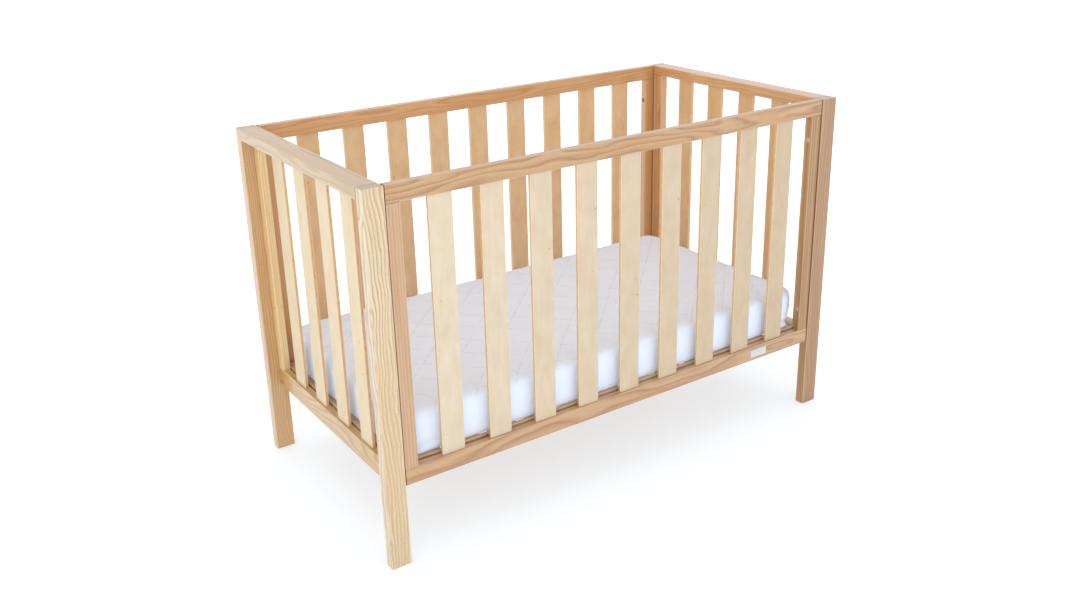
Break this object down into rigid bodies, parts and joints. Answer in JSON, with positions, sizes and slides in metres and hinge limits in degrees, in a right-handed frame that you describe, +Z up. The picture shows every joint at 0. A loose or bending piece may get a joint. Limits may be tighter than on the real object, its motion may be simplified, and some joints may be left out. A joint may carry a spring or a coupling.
{
  "type": "baby crib",
  "caption": "Wooden baby crib with slatted sides and ends between square-edged corner posts, a slatted base that hangs on support bolts at two heights, and a foam mattress.",
  "frame": {"origin": "on the floor under the middle of the crib's footprint", "axes": "+X along the crib's length to the right, +Y to its back, +Z up"},
  "size_m": [1.32, 0.674, 0.852],
  "materials": {
    "pine_frame": "clear matt lacquer on planed pine",
    "pale_slats": "clear matt lacquer on pale fine-grained wood",
    "base_pine": "planed, unfinished",
    "beech_dowel": "turned, unfinished",
    "bright_steel": "bright zinc plated",
    "badge_metal": "satin, blank",
    "mattress_cover": "woven cotton cover"
  },
  "bodies": {
    "frame": {"post_front_left": "pine_frame", "post_front_right": "pine_frame", "post_back_left": "pine_frame", "post_back_right": "pine_frame", "end_top_rail_left": "pine_frame", "end_bottom_rail_left": "pine_frame", "end_stile_left_front": "pine_frame", "end_stile_left_back": "pine_frame", "end_slat_left_1": "pale_slats", "end_slat_left_2": "pale_slats", "end_slat_left_3": "pale_slats", "end_slat_left_4": "pale_slats", "end_top_rail_right": "pine_frame", "end_bottom_rail_right": "pine_frame", "end_stile_right_front": "pine_frame", "end_stile_right_back": "pine_frame", "end_slat_right_1": "pale_slats", "end_slat_right_2": "pale_slats", "end_slat_right_3": "pale_slats", "end_slat_right_4": "pale_slats", "front_top_rail": "pine_frame", "front_bottom_rail": "pine_frame", "front_stile_left": "pine_frame", "front_stile_right": "pine_frame", "front_slat_1": "pale_slats", "front_slat_2": "pale_slats", "front_slat_3": "pale_slats", "front_slat_4": "pale_slats", "front_slat_5": "pale_slats", "front_slat_6": "pale_slats", "front_slat_7": "pale_slats", "front_slat_8": "pale_slats", "front_slat_9": "pale_slats", "back_top_rail": "pine_frame", "back_bottom_rail": "pine_frame", "back_stile_left": "pine_frame", "back_stile_right": "pine_frame", "back_slat_1": "pale_slats", "back_slat_2": "pale_slats", "back_slat_3": "pale_slats", "back_slat_4": "pale_slats", "back_slat_5": "pale_slats", "back_slat_6": "pale_slats", "back_slat_7": "pale_slats", "back_slat_8": "pale_slats", "back_slat_9": "pale_slats", "dowels": "beech_dowel", "bolt_caps": "beech_dowel", "panel_bolts": "bright_steel", "support_bolts": "bright_steel", "threaded_inserts": "bright_steel", "badge_plate": "badge_metal"},
    "mattress_base": {"base_end_rail_left": "base_pine", "base_end_rail_right": "base_pine", "base_side_rail_front": "base_pine", "base_side_rail_back": "base_pine", "base_slats": "base_pine", "base_frame_screws": "bright_steel", "base_slat_screws": "bright_steel"},
    "mattress": {"mattress": "mattress_cover"}
  },
  "joints": [
    {"name": "base_height", "type": "slide", "parent": "frame", "child": "mattress_base", "axis": [0, 0, 1], "range_m": [0, 0.206]},
    {"name": "mattress_lift", "type": "slide", "parent": "mattress_base", "child": "mattress", "axis": [0, 0, 1], "range_m": [0, 0.65]}
  ]
}
